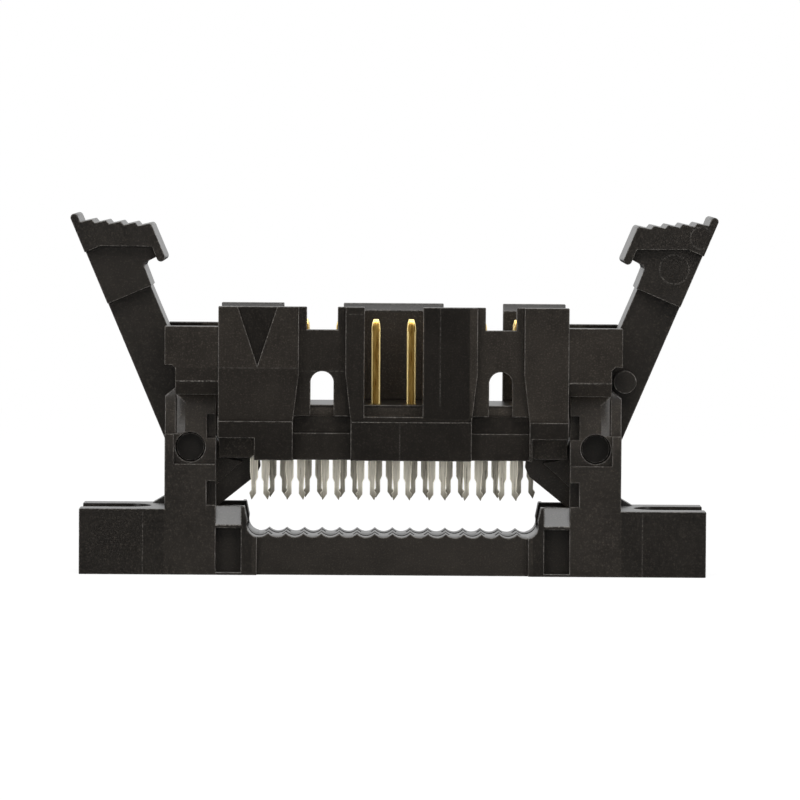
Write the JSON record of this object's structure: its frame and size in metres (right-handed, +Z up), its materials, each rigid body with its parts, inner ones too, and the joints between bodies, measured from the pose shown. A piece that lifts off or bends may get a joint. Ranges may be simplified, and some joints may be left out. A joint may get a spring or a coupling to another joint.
{
  "type": "flat cable box header with latches",
  "caption": "Shrouded two-row pin header for ribbon cable, with a flanged cable cover below it and two pivoting latch levers.",
  "frame": {"origin": "middle of the cover's base, on the surface it stands on", "axes": "+X along the connector, +Y to the rear (the face with the pin 1 mark looks to -Y), +Z up, the way the pins point"},
  "size_m": [0.046, 0.0092, 0.0257],
  "materials": {
    "cover_plastic": "black glass-filled plastic, satin",
    "housing_plastic": "black glass-filled plastic, satin",
    "latch_plastic": "black glass-filled plastic, satin",
    "contact_metal": "copper alloy, pins gold plated, forks tin plated"
  },
  "bodies": {
    "base": {"cover": "cover_plastic"},
    "header": {"housing": "housing_plastic", "contact_01": "contact_metal", "contact_02": "contact_metal", "contact_03": "contact_metal", "contact_04": "contact_metal", "contact_05": "contact_metal", "contact_06": "contact_metal", "contact_07": "contact_metal", "contact_08": "contact_metal", "contact_09": "contact_metal", "contact_10": "contact_metal", "contact_11": "contact_metal", "contact_12": "contact_metal", "contact_13": "contact_metal", "contact_14": "contact_metal", "contact_15": "contact_metal", "contact_16": "contact_metal"},
    "left_lever": {"latch_left": "latch_plastic"},
    "right_lever": {"latch_right": "latch_plastic"}
  },
  "joints": [
    {"name": "header_press", "type": "slide", "parent": "base", "child": "header", "axis": [0, 0, -1], "range_m": [0, 0.00475]},
    {"name": "left_latch_pivot", "type": "hinge", "parent": "base", "child": "left_lever", "pos_m": [-0.01445, 0, 0.0091], "axis": [0, 1, 0], "range_deg": [0, 23]},
    {"name": "right_latch_pivot", "type": "hinge", "parent": "base", "child": "right_lever", "pos_m": [0.01445, 0, 0.0091], "axis": [0, -1, 0], "range_deg": [0, 23]}
  ]
}
